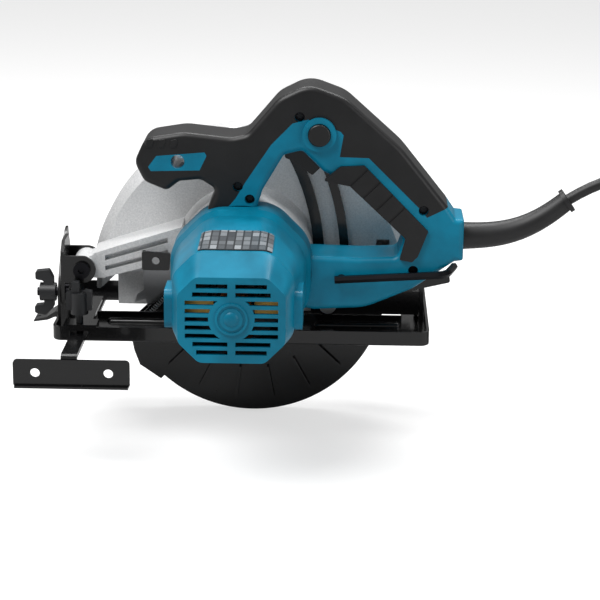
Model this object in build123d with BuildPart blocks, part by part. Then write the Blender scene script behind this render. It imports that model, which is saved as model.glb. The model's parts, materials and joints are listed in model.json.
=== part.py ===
"""A corded circular saw with a 185 mm blade, as an assembly of separate pieces.

Frame, in millimetres: +X points to the rear of the saw, +Y from the motor to the blade, +Z up.
The origin lies on the underside of the base plate, in the plane of the blade, below the spindle.
The saw is at full cutting depth, at zero bevel, with its guard closed.
"""
import os
from math import acos, atan2, cos, degrees, hypot, pi, radians, sin, sqrt, tan

from build123d import *

os.makedirs("parts", exist_ok=True)

# ---------------------------------------------------------------- driving dimensions
BLADE_R = 92.5            # 185 mm blade
BLADE_HALF = 0.9          # half the blade's thickness
BLADE_TEETH = 24
SPINDLE_Z = 27.0          # spindle axis above the sole, so the cut is 65.5 mm deep
GEAR_TEETH = 41
PINION_TEETH = 9
MODULE = 1.0
MOTOR_X = -5.0            # motor axis, in front of the spindle and above it
GEAR_CENTRES = MODULE * (GEAR_TEETH + PINION_TEETH) / 2
MOTOR_Z = SPINDLE_Z + sqrt(GEAR_CENTRES**2 - MOTOR_X**2)
DEPTH_X, DEPTH_Z = -122.0, 48.0   # depth pivot, at the front
BEVEL_Z = 6.5             # bevel axis, along X in the plane of the blade
BASE_X = (-142.0, 131.0)
BASE_Y = (-78.0, 50.0)
BASE_TOP = 10.5           # height of the up-turned edges
SHEET = 2.0               # base plate sheet
SLOT_X = (-116.0, 112.0)  # blade slot in the base
SLOT_Y = (-21.0, 30.0)
CASE_R = 120.0            # blade case
CASE_Y = (-18.0, 13.5)
CASE_WALL = 3.5
GUARD_R = 100.2           # lower guard
GUARD_HALF = 10.0
GUIDE_R = (168.0, 194.0)  # depth guide, centred on the depth pivot
GUIDE_Y = (-24.0, -21.5)
CLAMP_R = 181.3
CLAMP_ANGLE = -9.5
CLAMP_X = DEPTH_X + CLAMP_R * cos(radians(CLAMP_ANGLE))
CLAMP_Z = DEPTH_Z + CLAMP_R * sin(radians(CLAMP_ANGLE))
BOLT_Y, BOLT_Z = -50.0, 29.0      # bevel bolt at zero bevel
BOLT_R = hypot(BOLT_Y, BOLT_Z - BEVEL_Z)
BOLT_ANGLE = degrees(atan2(BOLT_Z - BEVEL_Z, -BOLT_Y))
MOTOR_Y = (-58.0, -190.0)         # motor housing, from its flange to its end face
HANDLE_Y = -56.0                  # parting plane of the handle
HANDLE_HALF = 20.0
SKIN = 2.5                # rubber over the handle
SHELL = 3.0               # moulded wall
FLOOR_Z = SPINDLE_Z - GUARD_R - 4.3   # what the cord lies on, just below the guard
CORD_D = 8.0


# ---------------------------------------------------------------- helpers
def at_y(y):
    """A sketch plane across the spindle axis. Its x is +X, its y is +Z and it faces the motor side."""
    return Plane.XZ.offset(-y)


def at_x(x):
    """A sketch plane across the saw's length. Its x is +Y, its y is +Z and it faces the rear."""
    return Plane.YZ.offset(x)


def disc(radius, y_from, y_to, x=0.0, z=SPINDLE_Z, mode=Mode.ADD):
    """A round step along Y between two stations."""
    with Locations((x, (y_from + y_to) / 2, z)):
        Cylinder(radius, abs(y_to - y_from), rotation=(90, 0, 0), mode=mode)


def rod_x(radius, x_from, x_to, y, z, mode=Mode.ADD):
    """A round step along X between two stations."""
    with Locations(((x_from + x_to) / 2, y, z)):
        Cylinder(radius, abs(x_to - x_from), rotation=(0, 90, 0), mode=mode)


def block(x, y, z, mode=Mode.ADD):
    """A box from its limits along each axis."""
    with Locations(((x[0] + x[1]) / 2, (y[0] + y[1]) / 2, (z[0] + z[1]) / 2)):
        Box(x[1] - x[0], y[1] - y[0], z[1] - z[0], mode=mode)


def prism_y(points, y_from, y_to, mode=Mode.ADD, radius=0.0):
    """An outline in X and Z, carried along Y, with its corners rounded if a radius is given."""
    with BuildSketch(at_y(max(y_from, y_to))) as outline:
        with BuildLine():
            if radius:
                FilletPolyline(*points, radius=radius, close=True)
            else:
                Polyline(*points, close=True)
        make_face()
    extrude(outline.sketch, amount=abs(y_to - y_from), mode=mode)


def prism_x(points, x_from, x_to, mode=Mode.ADD, radius=0.0):
    """An outline in Y and Z, carried along X."""
    with BuildSketch(at_x(x_from)) as outline:
        with BuildLine():
            if radius:
                FilletPolyline(*points, radius=radius, close=True)
            else:
                Polyline(*points, close=True)
        make_face()
    extrude(outline.sketch, amount=x_to - x_from, mode=mode)


def polar(radius, angle, x=0.0, z=0.0):
    """A point in X and Z at an angle from +X towards +Z."""
    return x + radius * cos(radians(angle)), z + radius * sin(radians(angle))


def ring_band(inner, outer, first, last, x, z):
    """A sketch of an arc band in X and Z with round ends, centred on a pivot."""
    middle = (inner + outer) / 2
    width = outer - inner
    with BuildLine():
        path = CenterArc((x, z), middle, first, last - first)
    with BuildSketch() as band:
        SlotArc(path, width)
    return band.sketch


def save(piece, name):
    """Label a finished piece and write it to its own file."""
    piece.part.label = name
    export_step(piece.part, f"parts/{name}.step")


def involute(angle):
    return tan(angle) - angle


def gear_points(teeth, addendum, dedendum, backlash, phase):
    """Corners of a spur gear's outline with involute flanks. One tooth is centred on phase."""
    pitch_r = MODULE * teeth / 2
    pressure = radians(20)
    base_r = pitch_r * cos(pressure)
    tip_r, root_r = pitch_r + addendum, pitch_r - dedendum
    half_pitch = pi / (2 * teeth) - backlash / (2 * pitch_r)
    steps = 5
    start_r = max(base_r, root_r)
    radii = [start_r + (tip_r - start_r) * i / steps for i in range(steps + 1)]
    flank = [(r, half_pitch + involute(pressure) - involute(acos(base_r / r))) for r in radii]
    if root_r < base_r:
        flank.insert(0, (root_r, flank[0][1]))
    points = []
    for tooth in range(teeth):
        centre = radians(phase) + 2 * pi * tooth / teeth
        rising = [(r, centre - a) for r, a in flank]
        falling = [(r, centre + a) for r, a in reversed(flank)]
        points += [(r * cos(a), r * sin(a)) for r, a in rising + falling]
    return points


# ---------------------------------------------------------------- base
FENCE_X = (-128.5, -117.0)    # rip fence bar
FENCE_Z = (2.6, 5.6)
PIN_R = 2.3                   # bevel pins
QUADRANT_X = (-140.0, -138.0)
YOKE_X = (-137.5, -135.0)
REAR_FLANGE_X = (122.0, 124.5)
REAR_BRACKET_X = (125.0, 128.0)
FENCE_SCREW = (-123.0, -68.0)

with BuildPart() as base_plate:
    with BuildSketch():
        with Locations(((BASE_X[0] + BASE_X[1]) / 2, (BASE_Y[0] + BASE_Y[1]) / 2)):
            RectangleRounded(BASE_X[1] - BASE_X[0], BASE_Y[1] - BASE_Y[0], 7)
    extrude(amount=BASE_TOP)
    with BuildSketch(Plane.XY.offset(SHEET)):
        with Locations(((BASE_X[0] + BASE_X[1]) / 2, (BASE_Y[0] + BASE_Y[1]) / 2)):
            RectangleRounded(
                BASE_X[1] - BASE_X[0] - 2 * SHEET, BASE_Y[1] - BASE_Y[0] - 2 * SHEET, 5
            )
    extrude(amount=BASE_TOP, mode=Mode.SUBTRACT)
    fillet(base_plate.edges().group_by(Axis.Z)[0].filter_by(GeomType.CIRCLE, reverse=True), 1.2)
    # raised lip along the near edge of the slot, broken where the gear case dips into the base
    for side in ((SLOT_X[0], -32.0), (32.0, SLOT_X[1])):
        block(side, (SLOT_Y[0] - 2, SLOT_Y[0]), (SHEET, 6.5))
    # long stiffening beads between the slot and the near edge
    for bead_y in (-34.0, -62.0):
        for ends in ((-104.0, -50.0), (50.0, 108.0)):
            with Locations(((ends[0] + ends[1]) / 2, bead_y, SHEET - 0.5)):
                Cylinder(3.4, ends[1] - ends[0], rotation=(0, 90, 0))
            for end in ends:
                with Locations((end, bead_y, SHEET - 0.5)):
                    Sphere(3.4)
    block((-110, 115), (-70, -30), (-4, 0), mode=Mode.SUBTRACT)
    # bridge over the fence bar, tapped for the thumb screw
    block((-134, -132), (-76, -60), (SHEET, 11.5))
    block((-112, -110), (-76, -60), (SHEET, 11.5))
    block((-134, -110), (-76, -60), (9.0, 11.5))
    with Locations((*FENCE_SCREW, 10.0)):
        Cylinder(2.56, 6, mode=Mode.SUBTRACT)
    block(SLOT_X, SLOT_Y, (-1, SHEET + 0.1), mode=Mode.SUBTRACT)
    block((-30, 30), (-48, SLOT_Y[0] + 1), (-1, SHEET + 0.1), mode=Mode.SUBTRACT)
    # window for the fence bar in the near edge
    block((-130, -115.5), (BASE_Y[0] - 1, BASE_Y[0] + 3), (SHEET + 0.1, 7.4), mode=Mode.SUBTRACT)
    rod_x(PIN_R + 0.05, BASE_X[0] - 1, BASE_X[0] + 3, 0, BEVEL_Z, mode=Mode.SUBTRACT)
save(base_plate, "base_plate")

with BuildPart() as sight_guide:
    # a tongue in front of the base edge that curls down to the work, with the sight notch in its edge
    prism_y(
        [(-142, 2.5), (-142, 9), (-146, 9), (-153, 4.5), (-162, 2.5), (-163, 0.8), (-152, 2.4), (-146, 5)],
        -34, -14, radius=0.6,
    )
    block((-164, -158), (-27, -25), (0, 8), mode=Mode.SUBTRACT)
save(sight_guide, "sight_guide")

with BuildPart() as bevel_quadrant:
    arc_from = (-(BOLT_R + 9) * cos(radians(20)), BEVEL_Z + (BOLT_R + 9) * sin(radians(20)))
    arc_mid = (-(BOLT_R + 9) * cos(radians(52)), BEVEL_Z + (BOLT_R + 9) * sin(radians(52)))
    arc_to = (-(BOLT_R + 9) * cos(radians(80)), BEVEL_Z + (BOLT_R + 9) * sin(radians(80)))
    with BuildSketch(at_x(QUADRANT_X[0])):
        with BuildLine():
            ThreePointArc(arc_from, arc_mid, arc_to)
            Polyline(arc_to, (-2, 46), (6, 12), (6, SHEET), (arc_from[0], SHEET), arc_from)
        make_face()
        with BuildLine(mode=Mode.PRIVATE):
            slot_path = CenterArc((0, BEVEL_Z), BOLT_R, 180 - BOLT_ANGLE - 47, 49)
        SlotArc(slot_path, 7.0, mode=Mode.SUBTRACT)
        with Locations((0, BEVEL_Z)):
            Circle(PIN_R + 0.05, mode=Mode.SUBTRACT)
    extrude(amount=QUADRANT_X[1] - QUADRANT_X[0])
save(bevel_quadrant, "bevel_quadrant")

with BuildPart() as rear_bracket:
    prism_x([(-22, SHEET), (-22, 30), (-16, 34), (-10, 34), (8, 14), (8, SHEET)], *REAR_BRACKET_X)
    block((120.5, REAR_BRACKET_X[0]), (10.5, 22), (SHEET, SHEET + 2))
    block((REAR_BRACKET_X[0], REAR_BRACKET_X[1]), (8, 22), (SHEET, SHEET + 2))
    rod_x(PIN_R + 0.05, REAR_BRACKET_X[0] - 1, REAR_BRACKET_X[1] + 1, 0, BEVEL_Z, mode=Mode.SUBTRACT)
save(rear_bracket, "rear_bracket")

with BuildPart() as bevel_pins:
    for x_from, x_to, head_from, head_to in (
        (-142.0, -134.5, -143.5, -142.0),
        (121.5, REAR_BRACKET_X[1], REAR_BRACKET_X[1], REAR_BRACKET_X[1] + 0.8),
    ):
        rod_x(PIN_R, x_from, x_to, 0, BEVEL_Z)
        rod_x(3.8, head_from, head_to, 0, BEVEL_Z)
save(bevel_pins, "bevel_pins")

with BuildPart() as fence_thumb_screw:
    with Locations((*FENCE_SCREW, 12.0)):
        Cylinder(2.5, 12)
    with Locations((*FENCE_SCREW, 26.0)):
        Cylinder(6.5, 16)
    with BuildSketch(Plane.XZ.offset(-FENCE_SCREW[1] - 3.0)):
        with BuildLine():
            FilletPolyline(
                (-132.5, 21), (-113.5, 21), (-113.5, 35), (-119, 36), (-121.5, 30), (-122.5, 30),
                (-122.5, 42), (-128, 42), (-128.5, 35), (-132.5, 34), radius=1.0, close=True,
            )
        make_face()
    extrude(amount=6, both=False)
save(fence_thumb_screw, "fence_thumb_screw")

with BuildPart() as rip_fence_bar:
    prism_x([(-126, FENCE_Z[0]), (22, FENCE_Z[0]), (22, FENCE_Z[1]), (-129, FENCE_Z[1]),
             (-129, -6), (-126, -6)], *FENCE_X)
    fillet(rip_fence_bar.edges().filter_by(Axis.X).group_by(Axis.Y)[0].sort_by(Axis.Z)[-1], 2.4)
save(rip_fence_bar, "rip_fence_bar")

with BuildPart() as rip_fence_plate:
    with BuildSketch(at_y(-129.0)):
        with Locations((-121, -8)):
            RectangleRounded(82, 20.5, 3)
        with Locations((-146.5, -7.5), (-95.0, -7.5)):
            Circle(3.4, mode=Mode.SUBTRACT)
    extrude(amount=2.0)
    block((-161, -81), (-134, -129), (-18.25, -16.4))
    fillet(rip_fence_plate.edges().filter_by(Axis.X).group_by(Axis.Z)[0], 0.8)
save(rip_fence_plate, "rip_fence_plate")

# ---------------------------------------------------------------- tilting frame
EAR_NEAR = (-58.0, -55.5)
EAR_FAR = (-27.0, -24.5)

with BuildPart() as front_bracket:
    prism_x(
        [(-58, 22), (-58, 61), (-50, 68), (-30, 68), (-24.5, 60), (-24.5, 36),
         (3.0, 9.4), (3.9, 6.5), (2.8, 3.7), (0, 2.5), (-3.2, 3.8), (-36, 22)],
        *YOKE_X,
    )
    for ear in (EAR_NEAR, EAR_FAR):
        block((YOKE_X[1], DEPTH_X), ear, (DEPTH_Z - 10, DEPTH_Z + 10))
        disc(10, *ear, DEPTH_X, DEPTH_Z)
        disc(4.02, ear[0] - 1, ear[1] + 1, DEPTH_X, DEPTH_Z, mode=Mode.SUBTRACT)
    rod_x(3.2, YOKE_X[0] - 1, YOKE_X[1] + 1, BOLT_Y, BOLT_Z, mode=Mode.SUBTRACT)
    rod_x(PIN_R + 0.05, YOKE_X[0] - 1, YOKE_X[1] + 1, 0, BEVEL_Z, mode=Mode.SUBTRACT)
save(front_bracket, "front_bracket")

with BuildPart() as depth_pivot_bolt:
    disc(4.0, EAR_NEAR[0], EAR_FAR[1] + 6, DEPTH_X, DEPTH_Z)
    disc(6.0, EAR_NEAR[0] - 3.5, EAR_NEAR[0], DEPTH_X, DEPTH_Z)
    with BuildSketch(at_y(EAR_NEAR[0] - 1.5)):
        with Locations((DEPTH_X, DEPTH_Z)):
            RegularPolygon(2.6, 6)
    extrude(amount=3, mode=Mode.SUBTRACT)
    with BuildSketch(at_y(EAR_FAR[1] + 5.5)) as nut:
        with Locations((DEPTH_X, DEPTH_Z)):
            RegularPolygon(7.0, 6)
    extrude(nut.sketch, amount=5.5)
save(depth_pivot_bolt, "depth_pivot_bolt")

with BuildPart() as bevel_bolt:
    rod_x(3.15, -156, YOKE_X[1], BOLT_Y, BOLT_Z)
    rod_x(6.5, YOKE_X[1], YOKE_X[1] + 2.5, BOLT_Y, BOLT_Z)
save(bevel_bolt, "bevel_bolt")

with BuildPart() as bevel_wing_nut:
    rod_x(6.8, -154, -142.4, BOLT_Y, BOLT_Z)
    with BuildSketch(at_y(BOLT_Y + 3.5)) as wings:
        with BuildLine():
            FilletPolyline(
                (-157, 45), (-157, 39), (-151, 38), (-151, 20), (-158, 19), (-158, 13.5), (-150, 12),
                (-144, 18), (-144, 40), (-147, 46), radius=1.6, close=True,
            )
        make_face()
    extrude(wings.sketch, amount=7)
    rod_x(3.2, -157, -142, BOLT_Y, BOLT_Z, mode=Mode.SUBTRACT)
save(bevel_wing_nut, "bevel_wing_nut")

with BuildPart() as depth_guide:
    with BuildSketch(at_y(GUIDE_Y[1])) as plate:
        add(ring_band(*GUIDE_R, -4, 27, DEPTH_X, DEPTH_Z))
        with BuildLine():
            Polyline(
                (44.5, 50), (44, 8), (REAR_FLANGE_X[0], 8), (REAR_FLANGE_X[0], 26), (96, 26), (70, 44),
                (70, 50), close=True,
            )
        make_face()
        add(ring_band(GUIDE_R[0] + 7.8, GUIDE_R[1] - 6.5, -11.5, 23.5, DEPTH_X, DEPTH_Z),
            mode=Mode.SUBTRACT)
    extrude(plate.sketch, amount=GUIDE_Y[1] - GUIDE_Y[0])
    # bent end that turns on the rear bevel pin
    prism_x([(-24, 8), (-24, 26), (-18, 30), (-12, 30), (3.0, 9.6), (3.9, 6.5), (2.8, 3.7), (0, 2.5),
             (-3.2, 3.8), (-7, 8)], *REAR_FLANGE_X)
    rod_x(PIN_R + 0.05, REAR_FLANGE_X[0] - 1, REAR_FLANGE_X[1] + 1, 0, BEVEL_Z, mode=Mode.SUBTRACT)
save(depth_guide, "depth_guide")

# ---------------------------------------------------------------- blade case
GEAR_BOSS_R = 50.0
POCKET_R = 22.4           # gear pocket around the spindle
BEARING_R = 14.0          # front spindle bearing
REAR_BEARING_R = 7.0      # rear spindle bearing
MOTOR_BEARING_R = 11.0
BOSS_Y = (EAR_NEAR[1] + 0.5, EAR_FAR[0] - 0.4)
ARM = [(-118, 57), (-96, 64.5), (-50, 79), (-45, 60), (-50, 56), (-104, 41), (-118, 39)]

with BuildPart() as blade_case:
    # drum with a bevelled near edge, hollow, open below
    disc(CASE_R, -12, CASE_Y[1], 0)
    with Locations((0, -15, SPINDLE_Z)):
        Cone(CASE_R, CASE_R - 7, 6, rotation=(90, 0, 0))
    disc(CASE_R - CASE_WALL, -11, CASE_Y[1] - 2.5, 0, mode=Mode.SUBTRACT)
    disc(CASE_R - 8, CASE_Y[0] + CASE_WALL, -11, 0, mode=Mode.SUBTRACT)
    # near wall: cut to its lower outline
    prism_y([(-130, -100), (130, -100), (130, 8), (30, 8), (21, 5), (21, 0), (15, -3), (-15, -3), (-24, 8),
             (-34, 30), (-62, 44), (-98, 38), (-114, 23), (-118, 22), (-118, 58), (-130, 58)],
            CASE_Y[0] - 0.1, -14.4, mode=Mode.SUBTRACT)
    prism_y([(-130, -100), (130, -100), (130, 14), (0, 14), (0, 50), (-130, 50)],
            -14.5, CASE_Y[1] - 2.5, mode=Mode.SUBTRACT)
    prism_y([(-130, -100), (130, -100), (130, 14), (75, 14), (75, 44), (-75, 44), (-75, 3), (-104, 3),
             (-104, 50), (-130, 50)],
            CASE_Y[1] - 2.6, CASE_Y[1] + 0.1, mode=Mode.SUBTRACT)
    # gear case behind the motor, flattened above the base
    with Locations((MOTOR_X, -26, MOTOR_Z)):
        Cone(GEAR_BOSS_R + 3, GEAR_BOSS_R, 16, rotation=(90, 0, 0))
    disc(GEAR_BOSS_R, MOTOR_Y[0], -34, MOTOR_X, MOTOR_Z)
    disc(GEAR_BOSS_R - 5, MOTOR_Y[0] - 1, -47, MOTOR_X, MOTOR_Z, mode=Mode.SUBTRACT)
    disc(MOTOR_BEARING_R + 3, MOTOR_Y[0], -46, MOTOR_X, MOTOR_Z)
    block((-70, 60), (MOTOR_Y[0] - 1, CASE_Y[0]), (-20, 16), mode=Mode.SUBTRACT)
    disc(POCKET_R + 2.4, -44.5, -14.5)
    disc(10, -54, -44)
    # front arm with its pivot boss
    prism_y(ARM, -50, CASE_Y[0])
    for groove in (
        [(-106, 57), (-60, 71), (-60, 67), (-106, 53)],
        [(-106, 49), (-60, 62), (-60, 58.5), (-106, 45.5)],
    ):
        prism_y(groove, -51, -44, mode=Mode.SUBTRACT)
    disc(12.5, -51, BOSS_Y[1] + 12, DEPTH_X, DEPTH_Z, mode=Mode.SUBTRACT)
    disc(9.0, *BOSS_Y, DEPTH_X, DEPTH_Z)
    prism_y([(-118, 56), (-106, 60), (-106, 40), (-118, 40)], -50, BOSS_Y[1])
    disc(4.05, -60, -20, DEPTH_X, DEPTH_Z, mode=Mode.SUBTRACT)
    # channel for the depth guide, with a pad for its clamp
    with BuildSketch(at_y(CASE_Y[0])) as channel:
        add(ring_band(GUIDE_R[0] - 3, GUIDE_R[1] + 3, -20, 34, DEPTH_X, DEPTH_Z))
    extrude(channel.sketch, amount=9, mode=Mode.SUBTRACT)
    disc(9.0, GUIDE_Y[1] + 0.4, CASE_Y[0], CLAMP_X, CLAMP_Z)
    # bearing seats, gear pocket and pinion pocket
    disc(POCKET_R, -43, -14.4, mode=Mode.SUBTRACT)
    disc(REAR_BEARING_R, -52, -42, mode=Mode.SUBTRACT)
    disc(MOTOR_BEARING_R, MOTOR_Y[0] - 1, -50, MOTOR_X, MOTOR_Z, mode=Mode.SUBTRACT)
    disc(6.6, -51, -26, MOTOR_X, MOTOR_Z, mode=Mode.SUBTRACT)
    # shaft lock bore, clamp bolt bore and the window above the rear edge
    rod_x(2.55, -60, -9, -41.2, SPINDLE_Z, mode=Mode.SUBTRACT)
    block((92, 102), (CASE_Y[0] - 1, -14), (57.5, 64), mode=Mode.SUBTRACT)
    disc(3.82, -24, -13, CLAMP_X, CLAMP_Z, mode=Mode.SUBTRACT)
    for angle in (20, 160, 270):
        screw_x, screw_z = polar(26.5, angle, 0, SPINDLE_Z)
        disc(1.8, CASE_Y[0] - 8, -14, screw_x, screw_z, mode=Mode.SUBTRACT)
save(blade_case, "blade_case")

# ---------------------------------------------------------------- drive train
FRONT_BEARING_Y = (-22.5, -14.5)
REAR_BEARING_Y = (-52.0, -44.0)
GEAR_Y = (-38.5, -27.5)
MOTOR_FRONT_Y = (-57.0, -50.0)
MOTOR_REAR_Y = (-186.0, -179.0)
SEAT_R = 8.0              # blade seat on the spindle's nose
COMMUTATOR_Y = (-163.0, -147.0)
BRUSH_Y = -155.0
BRUSH_SIZE = 6.0
MESH_ANGLE = degrees(atan2(MOTOR_Z - SPINDLE_Z, MOTOR_X))

with BuildPart() as spindle:
    disc(5.0, REAR_BEARING_Y[0], -39)
    disc(7.0, -39, -26)
    disc(8.5, -27.5, FRONT_BEARING_Y[0])
    disc(6.0, FRONT_BEARING_Y[0], FRONT_BEARING_Y[1])
    disc(9.0, FRONT_BEARING_Y[1], -4.5)
    disc(SEAT_R - 0.02, -4.5, BLADE_HALF)
    disc(4.0, -14, BLADE_HALF + 0.1, mode=Mode.SUBTRACT)
    for side in (1, -1):
        block((-6, 6), (-43, -39.2), tuple(sorted((SPINDLE_Z + side * 4.2, SPINDLE_Z + side * 6))),
              mode=Mode.SUBTRACT)
save(spindle, "spindle")

with BuildPart() as large_gear:
    outline = gear_points(GEAR_TEETH, 0.75, 1.15, 0.18, MESH_ANGLE + 180 / GEAR_TEETH)
    prism_y([(x, SPINDLE_Z + z) for x, z in outline], *GEAR_Y)
    for y_from, y_to in ((GEAR_Y[0], GEAR_Y[0] + 3), (GEAR_Y[1] - 3, GEAR_Y[1])):
        disc(17.0, y_from, y_to, mode=Mode.SUBTRACT)
        disc(11.0, y_from, y_to)
    disc(7.02, GEAR_Y[0] - 1, GEAR_Y[1] + 1, mode=Mode.SUBTRACT)
save(large_gear, "large_gear")

with BuildPart() as inner_flange:
    disc(20, -4.5, -BLADE_HALF)
    disc(15, -2.0, -BLADE_HALF, mode=Mode.SUBTRACT)
    disc(SEAT_R, -5, 0, mode=Mode.SUBTRACT)
save(inner_flange, "inner_flange")

with BuildPart() as saw_blade:
    tooth_pitch = 360 / BLADE_TEETH
    with BuildSketch(at_y(BLADE_HALF)) as blade_face:
        with Locations((0, SPINDLE_Z)):
            Circle(BLADE_R - 9)
        for tooth in range(BLADE_TEETH):
            start = tooth * tooth_pitch
            with BuildLine():
                Polyline(
                    polar(BLADE_R - 12, start - 1.0, 0, SPINDLE_Z),
                    polar(BLADE_R - 9, start + 6.4, 0, SPINDLE_Z),
                    polar(BLADE_R - 3, start + 8.6, 0, SPINDLE_Z),
                    polar(BLADE_R, start + 12.2, 0, SPINDLE_Z),
                    polar(BLADE_R - 8, start + 11.4, 0, SPINDLE_Z),
                    polar(BLADE_R - 12, start + 11.0, 0, SPINDLE_Z),
                    close=True,
                )
            make_face()
        with Locations((0, SPINDLE_Z)):
            Circle(SEAT_R, mode=Mode.SUBTRACT)
        for slot in range(4):
            with BuildLine():
                Polyline(
                    polar(BLADE_R - 22, slot * 90 + 14.6, 0, SPINDLE_Z),
                    polar(BLADE_R, slot * 90 + 14.6, 0, SPINDLE_Z),
                    polar(BLADE_R, slot * 90 + 15.4, 0, SPINDLE_Z),
                    polar(BLADE_R - 22, slot * 90 + 15.4, 0, SPINDLE_Z),
                    close=True,
                )
            make_face(mode=Mode.SUBTRACT)
            with Locations(polar(BLADE_R - 22, slot * 90 + 15, 0, SPINDLE_Z)):
                Circle(1.8, mode=Mode.SUBTRACT)
    extrude(blade_face.sketch, amount=2 * BLADE_HALF)
save(saw_blade, "saw_blade")

with BuildPart() as outer_flange:
    disc(19, BLADE_HALF, 4)
    disc(14, BLADE_HALF, 2, mode=Mode.SUBTRACT)
    disc(4.1, 0, 5, mode=Mode.SUBTRACT)
save(outer_flange, "outer_flange")

with BuildPart() as blade_bolt:
    disc(3.95, -12, 4)
    disc(9, 4, 5.5)
    with BuildSketch(at_y(10)) as head:
        with Locations((0, SPINDLE_Z)):
            RegularPolygon(7.5, 6)
    extrude(head.sketch, amount=4.5)
save(blade_bolt, "blade_bolt")

with BuildPart() as spindle_bearings:
    disc(BEARING_R, *FRONT_BEARING_Y)
    disc(6.0, -23, -14, mode=Mode.SUBTRACT)
    disc(REAR_BEARING_R, *REAR_BEARING_Y)
    disc(5.0, -53, -43, mode=Mode.SUBTRACT)
save(spindle_bearings, "spindle_bearings")

with BuildPart() as bearing_retainer:
    disc(POCKET_R, -22.5, -14.5)
    disc(30, -14.5, -11.5)
    disc(22, -11.5, -6.0)
    disc(BEARING_R, -23, -14.5, mode=Mode.SUBTRACT)
    disc(9.3, -15, -5, mode=Mode.SUBTRACT)
    for angle in (20, 160, 270):
        screw_x, screw_z = polar(26.5, angle, 0, SPINDLE_Z)
        disc(1.8, -15, -11, screw_x, screw_z, mode=Mode.SUBTRACT)
save(bearing_retainer, "bearing_retainer")

with BuildPart() as motor_shaft:
    outline = gear_points(PINION_TEETH, 0.8, 1.2, 0.18, MESH_ANGLE + 180)
    prism_y([(MOTOR_X + x, MOTOR_Z + z) for x, z in outline], -49.5, GEAR_Y[1])
    disc(4.96, *MOTOR_FRONT_Y, MOTOR_X, MOTOR_Z)
    disc(4.96, -49.5, MOTOR_FRONT_Y[1], MOTOR_X, MOTOR_Z)
    disc(6.0, MOTOR_REAR_Y[1], MOTOR_FRONT_Y[0], MOTOR_X, MOTOR_Z)
    disc(3.96, *MOTOR_REAR_Y, MOTOR_X, MOTOR_Z)
save(motor_shaft, "motor_shaft")

with BuildPart() as armature_core:
    disc(19.0, -130, -90, MOTOR_X, MOTOR_Z)
    for slot in range(12):
        slot_x, slot_z = polar(18.6, slot * 30, MOTOR_X, MOTOR_Z)
        disc(1.9, -131, -89, slot_x, slot_z, mode=Mode.SUBTRACT)
    # end windings
    disc(15.5, -139, -130, MOTOR_X, MOTOR_Z)
    disc(15.5, -90, -83, MOTOR_X, MOTOR_Z)
    disc(6.0, -140, -80, MOTOR_X, MOTOR_Z, mode=Mode.SUBTRACT)
save(armature_core, "armature_core")

with BuildPart() as commutator:
    disc(13, *COMMUTATOR_Y, MOTOR_X, MOTOR_Z)
    for slot in range(24):
        slot_x, slot_z = polar(13.0, slot * 15, MOTOR_X, MOTOR_Z)
        disc(0.5, -164, -146, slot_x, slot_z, mode=Mode.SUBTRACT)
    disc(6.0, -164, -146, MOTOR_X, MOTOR_Z, mode=Mode.SUBTRACT)
save(commutator, "commutator")

with BuildPart() as cooling_fan:
    disc(33, -63.5, -61.5, MOTOR_X, MOTOR_Z)
    disc(12, -74, -61.5, MOTOR_X, MOTOR_Z)
    for vane in range(14):
        with Locations(Location((MOTOR_X, -68.5, MOTOR_Z), (0, vane * 360 / 14, 0))):
            Box(32.5, 10.4, 1.6, align=(Align.MIN, Align.CENTER, Align.CENTER))
    disc(6.0, -75, -60, MOTOR_X, MOTOR_Z, mode=Mode.SUBTRACT)
save(cooling_fan, "cooling_fan")

with BuildPart() as motor_bearings:
    disc(MOTOR_BEARING_R, *MOTOR_FRONT_Y, MOTOR_X, MOTOR_Z)
    disc(5.0, -58, -49, MOTOR_X, MOTOR_Z, mode=Mode.SUBTRACT)
    disc(MOTOR_BEARING_R, *MOTOR_REAR_Y, MOTOR_X, MOTOR_Z)
    disc(4.0, -187, -178, MOTOR_X, MOTOR_Z, mode=Mode.SUBTRACT)
save(motor_bearings, "motor_bearings")

# ---------------------------------------------------------------- lower guard
LEADING = [(-40, 48), (-58, 26), (-96, -10)]
with BuildPart() as lower_guard:
    disc(GUARD_R, -GUARD_HALF, GUARD_HALF)
    # toe at the leading edge
    prism_y([(-94, -8), (-90, -28), (-86, -39), (-70, -50), (-60, -40), (-60, -8)], -GUARD_HALF, GUARD_HALF)
    disc(GUARD_R - 2.2, -GUARD_HALF + 2, GUARD_HALF - 2, mode=Mode.SUBTRACT)
    prism_y([(-91, -10), (-88, -27), (-84, -37), (-70, -48), (-60, -38), (-60, -8)],
            -GUARD_HALF + 2, GUARD_HALF - 2, mode=Mode.SUBTRACT)
    # open above the leading edge and the rear edge
    prism_y([(-130, -10), (-96, -10), *LEADING[::-1][1:], (-20, 62), (20, 62), (40, 36), (130, 36), (130, 150),
             (-130, 150)], -GUARD_HALF - 1, GUARD_HALF + 1, mode=Mode.SUBTRACT)
    disc(29, -GUARD_HALF, -GUARD_HALF + 2)
    disc(22.05, -GUARD_HALF - 1, -GUARD_HALF + 3, mode=Mode.SUBTRACT)
    disc(46, GUARD_HALF - 3, GUARD_HALF + 1, mode=Mode.SUBTRACT)
    # post for the spring
    disc(2.0, -13.5, -GUARD_HALF, *polar(88, 200, 0, SPINDLE_Z))
save(lower_guard, "lower_guard")

with BuildPart() as guard_lever:
    lever_x, lever_z = polar(58, 186, 0, SPINDLE_Z)
    disc(6, GUARD_HALF, GUARD_HALF + 2, lever_x, lever_z)
    disc(4.0, GUARD_HALF + 2, 14.5, lever_x, lever_z)
    disc(6.5, 14.5, 19.5, lever_x, lever_z)
save(guard_lever, "guard_lever")

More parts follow.
